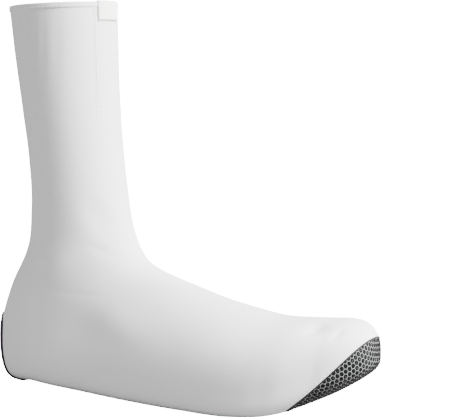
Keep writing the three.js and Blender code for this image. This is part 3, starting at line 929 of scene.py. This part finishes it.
def build_upper(scene):
    """The cloth as one closed wall: inner face, rounded rim, hem and outer face are rows of
    one grid over (u, angle), each row at its own distance from the smooth shoe."""
    form = Form(scene)
    shoe, trim = form.shoe, form.trim
    angle = turns(AROUND)
    edge = form.at_seam(angle, form.cap.seam_width / 2 + SEAM_GAP)
    last_row = edge.max()
    first_step = form.steps[0]
    hem_end = shoe.hem_height / first_step
    radius = (shoe.cloth_wall + shoe.hem_extra) / 2
    swing = np.linspace(0, math.pi, ROUND_ROWS + 1)
    rim_u = radius * (1 - np.sin(swing)) / first_step
    rim_out = (shoe.hem_extra - shoe.cloth_wall) / 2 - radius * np.cos(swing)
    hem_u = np.linspace(rim_u[-1], hem_end, HEM_ROWS + 1)[1:]
    hem_out = np.full(HEM_ROWS, shoe.hem_extra)
    below, left = np.array(HEM_STEPS).T
    step_u = hem_end + below * MM / first_step
    step_out = left * shoe.hem_extra
    outer_u = np.linspace(step_u[-1], last_row, OUTER_ROWS + 1)[1:]
    outer_out = np.zeros(OUTER_ROWS)
    inner_u = np.linspace(last_row, rim_u[0], INNER_ROWS + 1)[:-1]
    inner_out = np.full(INNER_ROWS, -shoe.cloth_wall)
    rows = np.concatenate([rim_u, hem_u, step_u, outer_u, inner_u])[:, None]
    offsets = np.concatenate([rim_out, hem_out, step_out, outer_out, inner_out])[:, None]
    fan = FAN_FROM + (rows - FAN_FROM) * (edge - FAN_FROM) / (last_row - FAN_FROM)
    points = form.place(np.where(rows <= FAN_FROM, rows, fan), angle, offsets)
    quads = grid_quads(len(rows), AROUND, close_rows=True)
    piece = add_mesh("cloth_upper", points, [quads], ["upper"])
    cleat_middle = shoe.foot_length - form.cap.reach - CLEAT_BEHIND_SEAM - trim.cleat_length / 2
    heel_middle = form.back_x + trim.patch_under + HEEL_BEHIND_PATCH + trim.heel_length / 2
    ball_shift = form.values[:, SHIFT].min()
    cut_opening(piece, form, trim.cleat_length, trim.cleat_width, cleat_middle, ball_shift)
    cut_opening(piece, form, trim.heel_length, trim.heel_width, heel_middle, 0.0)
    piece.data.set_sharp_from_angle(angle=math.radians(CLOTH_SHARP))
    piece.data.materials.append(cloth_material(scene.overshoe_colours))


def opening_outline(length, width, middle_x, middle_y):
    """Points round a rounded rectangle: straight sides and quarter circles, by arc length."""
    radius = min(OPENING_CORNER, length * CORNER_SHARE, width * CORNER_SHARE)
    x, y = length / 2 - radius, width / 2 - radius
    quarter = np.linspace(0, math.pi / 2, CORNER_POINTS)
    arcs = []
    for number, (sx, sy) in enumerate(((1, 1), (-1, 1), (-1, -1), (1, -1))):
        swing = quarter + number * math.pi / 2
        arc_x, arc_y = sx * x + radius * np.cos(swing), sy * y + radius * np.sin(swing)
        arcs.append(np.stack([arc_x, arc_y], -1))
    dense = np.concatenate([*arcs, arcs[0][:1]])
    run = run_along(dense)
    at = np.arange(OPENING_AROUND) * run[-1] / OPENING_AROUND
    outline = np.stack([np.interp(at, run, dense[:, 0]), np.interp(at, run, dense[:, 1])], -1)
    return outline + np.array([middle_x, middle_y])


def cut_opening(piece, form, length, width, middle_x, middle_y):
    """Cuts an upright block with rounded corners through the sole cloth."""
    outline = opening_outline(length, width, middle_x, middle_y) - form.origin()[:2]
    reach = 2 * (form.shoe.cloth_wall + form.stand)
    low = np.concatenate([outline, np.full((OPENING_AROUND, 1), -reach)], axis=1)
    high = low + np.array([0, 0, 2 * reach])
    mesh = bpy.data.meshes.new("opening_block")
    groups = tube_faces(2, OPENING_AROUND)
    faces = [face for group in groups for face in group.tolist()]
    mesh.from_pydata(np.concatenate([low, high]).tolist(), [], faces)
    block = bpy.data.objects.new("opening_block", mesh)
    bpy.context.scene.collection.objects.link(block)
    cut = piece.modifiers.new("Opening", "BOOLEAN")
    cut.operation = "DIFFERENCE"
    cut.solver = "MANIFOLD"
    cut.object = block
    graph = bpy.context.evaluated_depsgraph_get()
    done = bpy.data.meshes.new_from_object(piece.evaluated_get(graph))
    piece.modifiers.clear()
    old = piece.data
    before = len(old.polygons)
    piece.data = done
    for used in (old, mesh):
        bpy.data.meshes.remove(used)
    if len(piece.data.polygons) == before:
        raise RuntimeError("the opening block didn't cut the sole")


def build_toe_cap(scene):
    """The closed end of the shoe in front of the seam: rows run from the seam to the tip
    over (u, angle), and raised cells follow a pattern laid out on a flat copy."""
    form = Form(scene)
    cap = form.cap
    wall = form.shoe.cloth_wall

    def ring_u(shares, angle):
        start = form.at_seam(angle, -cap.seam_width / 2 - SEAM_GAP)
        return start + (form.tip - start) * shares[:, None]

    angle = turns(FLAT_AROUND)
    u = ring_u(np.linspace(0, CAP_END, FLAT_ROWS), angle)
    flat = flatten(form.place(u, angle), form.normal(u, angle))
    flat = between(flat, CAP_ROWS, CAP_AROUND) / cap.cell_pitch
    c, s = math.cos(cap.cell_turn), math.sin(cap.cell_turn)
    flat = flat @ np.array([[c, s], [-s, c]])
    angle = turns(CAP_AROUND)
    share = np.linspace(0, CAP_END, CAP_ROWS)
    rise = 1 - smooth(cell_distance(flat), CELL_HALF - SLOPE_IN, CELL_HALF + SLOPE_OUT)
    height = cap.cell_height * (rise - 1) * smooth(share, 0, CAP_RISE)[:, None]
    outside = form.place(ring_u(share, angle), angle, height)
    inner_share = np.linspace(CAP_END, 0, CAP_INNER_ROWS)
    inside = form.place(ring_u(inner_share, angle), angle, -wall)
    tips = [form.place(form.tip, 0.0, -wall), form.place(form.tip, 0.0, -cap.cell_height)]
    points = np.concatenate([inside.reshape(-1, 3), outside.reshape(-1, 3), tips])
    faces = poled_faces(CAP_INNER_ROWS + CAP_ROWS, CAP_AROUND)
    piece = add_mesh("grip_toe_cap", points, faces, ["toe_cap"])
    inside_flat = np.repeat(flat[:1], CAP_INNER_ROWS, axis=0).reshape(-1, 2)
    middle = flat[-1].mean(axis=0)
    pattern = np.concatenate([inside_flat, flat.reshape(-1, 2), [middle, middle]])
    corner = np.empty(len(piece.data.loops), dtype=np.int32)
    piece.data.loops.foreach_get("vertex_index", corner)
    layer = piece.data.uv_layers.new(name="Pattern")
    layer.data.foreach_set("uv", pattern[corner].astype(np.float32).ravel())
    piece.data.materials.append(grip_material(scene.overshoe_colours))


def stitch_row(form, name, points, normals, material, count=0):
    """A row of stitches on a path: each is a short thread bowed over the cloth, a ring of
    points carried along an arch. A given count of stitches meets end to end."""
    trim = form.trim
    run = run_along(points)
    length = run[-1] / count if count else trim.stitch_length
    pitch = length if count else length * STITCH_GAP
    count = count or max(int(run[-1] / pitch), 1)
    at = (np.arange(count) + 0.5) * run[-1] / count

    def on_path(values, where):
        return np.stack([np.interp(where, run, values[:, i]) for i in range(3)], -1)

    middle = on_path(points, at)
    out = unit(on_path(normals, at))
    ahead = unit(on_path(points, at + pitch / 4) - on_path(points, at - pitch / 4))
    aside = np.cross(out, ahead)
    part = np.linspace(-1, 1, STITCH_STEPS)
    radius = trim.thread_radius
    high = ((1 - part**2) * STITCH_BOW - STITCH_SUNK) * radius
    centre = (
        middle[:, None]
        + ahead[:, None] * (part * length / 2)[None, :, None]
        + out[:, None] * high[None, :, None]
    )
    swing = turns(STITCH_SIDES)
    thick = radius * np.sqrt(np.clip(1 - part**STITCH_BLUNT, STITCH_END, 1))
    ring = (
        aside[:, None, None] * np.cos(swing)[None, None, :, None]
        + out[:, None, None] * np.sin(swing)[None, None, :, None]
    )
    tube = centre[:, :, None] + ring * thick[None, :, None, None]
    sides, *ends = tube_faces(STITCH_STEPS, STITCH_SIDES)
    ends = np.concatenate(ends)
    base = (np.arange(count) * STITCH_STEPS * STITCH_SIDES)[:, None, None]
    faces = [(sides + base).reshape(-1, 4), (ends + base).reshape(-1, STITCH_SIDES)]
    add_mesh(name, tube, faces).data.materials.append(material)


def build_seams(scene):
    """The bound toe seam, the two front seams of the leg and the rows of stitches."""
    upper = bpy.data.objects.get("cloth_upper")
    if upper is None:
        raise RuntimeError("the seams lie on the cloth upper, which is added first")
    form = Form(scene)
    colours = scene.overshoe_colours
    build_binding(form, colours)
    thread = thread_material(colours)
    cloth = upper.data.materials[0]
    for name, side in (("outer", -1), ("inner", 1)):
        build_front_seam(form, name, side, cloth, thread)
    angle = np.append(turns(AROUND), 2 * math.pi)
    low = (form.shoe.hem_height - HEM_STITCH_UP) / form.steps[0]
    points = form.place(low, angle, form.shoe.hem_extra)
    normals = form.normal(np.full_like(angle, low), angle)
    stitch_row(form, "hem_stitches", points, normals, thread)
    behind = form.at_seam(angle, form.cap.seam_width / 2 + TOE_STITCH_BACK)
    points, normals = form.place(behind, angle), form.normal(behind, angle)
    stitch_row(form, "toe_stitches", points, normals, thread)


def arch(half, high, foot):
    """Profile of a low arch with a foot at each side: places across it, and heights."""
    swing = np.linspace(0, math.pi, ARCH_POINTS)
    across = np.concatenate([[half], half * np.cos(swing), [-half]])
    return across, np.concatenate([[-foot], high * np.sin(swing), [-foot]])


def build_binding(form, colours):
    """Binding of the toe seam: a low arch carried round the seam's line."""
    cap = form.cap
    behind, high = arch(cap.seam_width / 2, cap.seam_proud, form.shoe.cloth_wall)
    angle = turns(CAP_AROUND)
    rows = np.stack([form.at_seam(angle, distance) for distance in behind])
    points = form.place(rows, angle, high[:, None])
    quads = grid_quads(len(behind), CAP_AROUND, close_rows=True)
    piece = add_mesh(
        "toe_binding", points, [quads], ["toe_seam"], sharp=CLOTH_SHARP
    )
    piece.data.materials.append(binding_material(colours))


def build_front_seam(form, name, side, cloth, thread):
    """A flat seam down the leg beside the shin: a low arch carried down a line that keeps
    its distance from the middle, fading out above the ankle."""
    top = (form.shoe.hem_height + SEAM_TOP) / form.steps[0]
    u = np.linspace(top, SEAM_END, SEAM_ROWS)
    across, high = arch(SEAM_TAPE / 2, SEAM_TAPE_HIGH, SEAM_FOOT)
    across, high = across[:, None], high[:, None]
    fade = smooth(SEAM_END - u, 0, SEAM_FADE)
    width = form.sections(u)[:, HALF_WIDTH]
    angle = side_angle((SEAM_SIDE * side + across) / width)
    lifted = np.where(high > 0, high * fade, high) - SEAM_SINK * (1 - fade)
    points = np.swapaxes(form.place(u, angle, lifted), 0, 1)
    faces = tube_faces(len(u), len(across))
    piece = add_mesh(f"front_seam_{name}", points, faces, sharp=CLOTH_SHARP)
    piece.data.materials.append(cloth)
    for row, apart in (("front", -SEAM_STITCH), ("back", SEAM_STITCH)):
        angle = side_angle((SEAM_SIDE + apart) * side / width)
        path, normals = form.place(u, angle), form.normal(u, angle)
        stitches = f"seam_stitches_{name}_{row}"
        stitch_row(form, stitches, path, normals, thread)


def build_heel_patch(scene):
    """The heel patch: a sheet with rounded corners over the back and the bottom of the heel.
    Rings of a superellipse run out on its inner face, round its edge and back on top."""
    form = Form(scene)
    trim = form.trim
    bottom = trim.patch_above * PATCH_BOTTOM
    front = form.back_x + trim.patch_under
    upper = form.on_back_line(lambda p: p[2] < trim.patch_above)
    lower = form.on_back_line(lambda p: p[2] < bottom and p[0] > front)
    middle, half = (upper + lower) / 2, (lower - upper) / 2
    turn = turns(PATCH_AROUND)
    thick = trim.patch_thickness
    swing = np.linspace(-math.pi / 2, math.pi / 2, ARCH_POINTS)
    edge = 1 - PATCH_BEVEL * thick / (trim.patch_width / 2) * (1 - np.cos(swing))
    edge_out = CLEARANCE + thick / 2 + thick / 2 * np.sin(swing)
    inner = np.linspace(PATCH_FIRST, edge[0], PATCH_ROWS // 2)[:-1]
    outer = np.linspace(edge[-1], PATCH_FIRST, PATCH_ROWS)[1:]
    inner_out = np.full(len(inner), CLEARANCE)
    outer_out = np.full(len(outer), CLEARANCE + thick)
    radius = np.concatenate([inner, edge, outer])[:, None]
    out = np.concatenate([inner_out, edge_out, outer_out])[:, None]

    def place(radius, turn, out):
        c, s = np.cos(turn), np.sin(turn)
        ray = (np.abs(c) ** PATCH_CORNER + np.abs(s) ** PATCH_CORNER) ** (-1 / PATCH_CORNER)
        ray = radius * ray
        u = middle + half * c * ray
        section = form.sections(u)
        across = trim.patch_width / 2 * s * ray / section[..., HALF_WIDTH]
        power = section[..., LOWER]
        up = -((1 - np.abs(across) ** power) ** (1 / power))
        return form.place(u, np.arctan2(across, up), out)

    rings = place(radius, turn, out)
    poles = [place(0.0, 0.0, CLEARANCE), place(0.0, 0.0, CLEARANCE + thick)]
    points = np.concatenate([rings.reshape(-1, 3), poles])
    faces = poled_faces(len(radius), PATCH_AROUND)
    piece = add_mesh("heel_patch_rubber", points, faces, ["heel_patch"])
    piece.data.materials.append(rubber_material(scene.overshoe_colours))


def build_front_tab(scene):
    """The tape folded over the rim: a flat ribbed loop is carried up outside, over the rim
    and down inside, with rounded ends. A zigzag of stitches holds its lower edge."""
    form = Form(scene)
    shoe, trim = form.shoe, form.trim
    thick = trim.tape_thickness
    outside = shoe.hem_extra + CLEARANCE
    inside = -shoe.cloth_wall - CLEARANCE
    middle, half_gap = (outside + inside) / 2, (outside - inside) / 2
    drop = trim.tab_drop
    down = np.linspace(drop, 0, TAB_DOWN)
    swing = np.linspace(0, math.pi, TAB_OVER + 2)[1:-1]
    depth = np.concatenate([down, np.zeros(TAB_OVER), down[::-1]])
    fold = np.concatenate([np.zeros(TAB_DOWN), swing, np.full(TAB_DOWN, math.pi)])
    full = np.ones(len(depth) - 2 * len(TAB_END))
    ends = np.concatenate([TAB_END, full, TAB_END[::-1]])
    roll = 1 + TAB_ROLL * np.exp(-(((drop - depth) / TAB_ROLL_HIGH) ** 2))
    across = np.linspace(-1, 1, TAB_ACROSS)
    rib = 0.5 + 0.5 * np.cos(2 * math.pi * across * trim.tab_width / 2 / trim.rib_pitch)
    edge = np.sqrt(np.clip(1 - across**TAB_SIDE, TAB_SIDE_LEAST, 1))
    high = (1 - RIB_DEPTH * (1 - rib)) * edge
    loop_side = np.concatenate([across, across[::-1]])
    loop_high = np.concatenate([high, np.zeros(TAB_ACROSS)])
    level = loop_high * ends[:, None] * roll[:, None] * thick
    level = level + (1 - ends[:, None]) * thick * TAB_END_HIGH
    u = (depth / form.steps[0])[:, None]
    width = form.sections(u)[..., HALF_WIDTH]
    angle = side_angle(loop_side * trim.tab_width / 2 / width)
    fold = fold[:, None]
    points = form.place(u, angle, middle + (half_gap + level) * np.cos(fold))
    points[..., 2] += (CLEARANCE + TAB_TOP * level) * np.sin(fold)
    faces = tube_faces(*level.shape)
    piece = add_mesh("tape_tab", points, faces, ["front_tab"], sharp=TAPE_SHARP)
    piece.data.materials.append(tape_material(scene.overshoe_colours))
    legs = int(trim.tab_width / ZIGZAG_STEP)
    across = np.linspace(-0.5, 0.5, legs + 1) * trim.tab_width
    u = (drop + ZIGZAG_BELOW + ZIGZAG_HIGH * (np.arange(legs + 1) % 2)) / form.steps[0]
    angle = side_angle(across / form.sections(u)[..., HALF_WIDTH])
    path, normals = form.place(u, angle), form.normal(u, angle)
    thread = thread_material(scene.overshoe_colours)
    stitch_row(form, "tab_stitches", path, normals, thread, legs)


def facing(here, there):
    """Turn that points an object's -Z from here to there, with its Y upward."""
    ahead = unit(there - here)
    rise = math.asin(ahead[2])
    round_z = math.atan2(-ahead[0], ahead[1])
    return (math.pi / 2 + rise, 0.0, round_z)


def add_to_stage(scene, name, data, where):
    """A lamp or camera that faces the overshoe."""
    holder = bpy.data.objects.new(name, data)
    holder.location = where
    holder.rotation_euler = facing(where, LOOK_AT)
    scene.collection.objects.link(holder)
    return holder


def build_stage(scene):
    """A pale floor, a large soft key light, a fill, a white sky and the camera."""
    stage, colours = scene.overshoe_stage, scene.overshoe_colours
    mesh = bpy.data.meshes.new("studio_floor")
    signs = ((-1, -1), (1, -1), (1, 1), (-1, 1))
    corners = [(x * FLOOR_HALF, y * FLOOR_HALF, -FLOOR_GAP) for x, y in signs]
    mesh.from_pydata(corners, [], [(0, 1, 2, 3)])
    floor = bpy.data.objects.new("studio_floor", mesh)
    scene.collection.objects.link(floor)
    mesh.materials.append(floor_material(colours, stage))
    lamps = (
        ("key_light", stage.key_power, KEY_WIDTH, KEY_AT),
        ("fill_light", stage.fill_power, FILL_WIDTH, FILL_AT),
    )
    for name, power, width, where in lamps:
        lamp = bpy.data.lights.new(name, "AREA")
        lamp.energy = power
        lamp.shape = "DISK"
        lamp.size = width
        add_to_stage(scene, name, lamp, where)
    world = bpy.data.worlds.new("studio_sky")
    world.use_nodes = True
    tree = world.node_tree
    sky = tree.nodes["Background"]
    seen = (node(tree, "ShaderNodeLightPath"), "Is Camera Ray")
    glow = node(tree, MAP_RANGE, in_0=seen, in_3=stage.sky, in_4=stage.backdrop)
    sky.inputs["Color"].default_value = (1.0, 1.0, 1.0, 1.0)
    tree.links.new(glow.outputs["Result"], sky.inputs["Strength"])
    scene.world = world
    camera = bpy.data.cameras.new("camera")
    camera.lens = stage.focal
    camera.dof.use_dof = False
    scene.camera = add_to_stage(scene, "camera", camera, CAMERA_AT)


class OVERSHOE_OT_upper(bpy.types.Operator):
    """Adds the white cloth of the leg and foot"""

    bl_idname = "overshoe.upper"
    bl_label = "Cloth Upper"
    bl_options = {"REGISTER", "UNDO"}

    def execute(self, context):
        build_upper(context.scene)
        return {"FINISHED"}


class OVERSHOE_OT_toe_cap(bpy.types.Operator):
    """Adds the grip mesh round the toe"""

    bl_idname = "overshoe.toe_cap"
    bl_label = "Grip Toe Cap"
    bl_options = {"REGISTER", "UNDO"}

    def execute(self, context):
        build_toe_cap(context.scene)
        return {"FINISHED"}


class OVERSHOE_OT_seams(bpy.types.Operator):
    """Adds the toe binding, the front seams and the stitches"""

    bl_idname = "overshoe.seams"
    bl_label = "Seams and Stitches"
    bl_options = {"REGISTER", "UNDO"}

    def execute(self, context):
        build_seams(context.scene)
        return {"FINISHED"}


class OVERSHOE_OT_heel_patch(bpy.types.Operator):
    """Adds the black patch over the heel"""

    bl_idname = "overshoe.heel_patch"
    bl_label = "Heel Patch"
    bl_options = {"REGISTER", "UNDO"}

    def execute(self, context):
        build_heel_patch(context.scene)
        return {"FINISHED"}


class OVERSHOE_OT_front_tab(bpy.types.Operator):
    """Adds the ribbed tape folded over the rim in front"""

    bl_idname = "overshoe.front_tab"
    bl_label = "Front Tab"
    bl_options = {"REGISTER", "UNDO"}

    def execute(self, context):
        build_front_tab(context.scene)
        return {"FINISHED"}


class OVERSHOE_OT_stage(bpy.types.Operator):
    """Adds the floor, the lights and the camera"""

    bl_idname = "overshoe.stage"
    bl_label = "Studio Stage"
    bl_options = {"REGISTER", "UNDO"}

    def execute(self, context):
        build_stage(context.scene)
        return {"FINISHED"}


OPERATORS = (
    OVERSHOE_OT_upper,
    OVERSHOE_OT_toe_cap,
    OVERSHOE_OT_seams,
    OVERSHOE_OT_heel_patch,
    OVERSHOE_OT_front_tab,
    OVERSHOE_OT_stage,
)


class OVERSHOE_PT_sidebar(bpy.types.Panel):
    """Sizes, colours and pieces of the overshoe"""

    bl_label = "Cycling Overshoe"
    bl_idname = "OVERSHOE_PT_sidebar"
    bl_space_type = "VIEW_3D"
    bl_region_type = "UI"
    bl_category = "Overshoe"

    def draw(self, context):
        for name in PROPERTIES:
            group = getattr(context.scene, name)
            box = self.layout.box()
            for key in group.__annotations__:
                box.prop(group, key)
        for operator in OPERATORS:
            self.layout.operator(operator.bl_idname)


def register():
    """Adds the property groups, the operators and the panel to Blender."""
    for group in PROPERTIES.values():
        bpy.utils.register_class(group)
    for name, group in PROPERTIES.items():
        setattr(bpy.types.Scene, name, bpy.props.PointerProperty(type=group))
    for operator in OPERATORS:
        bpy.utils.register_class(operator)
    bpy.utils.register_class(OVERSHOE_PT_sidebar)


def unregister():
    """Takes out what register adds, in the opposite order."""
    bpy.utils.unregister_class(OVERSHOE_PT_sidebar)
    for operator in reversed(OPERATORS):
        bpy.utils.unregister_class(operator)
    for name, group in PROPERTIES.items():
        delattr(bpy.types.Scene, name)
        bpy.utils.unregister_class(group)


def main():
    """Builds the whole overshoe."""
    register()
    bpy.ops.overshoe.upper()
    bpy.ops.overshoe.toe_cap()
    bpy.ops.overshoe.seams()
    bpy.ops.overshoe.heel_patch()
    bpy.ops.overshoe.front_tab()
    bpy.ops.overshoe.stage()


if __name__ == "__main__":
    main()
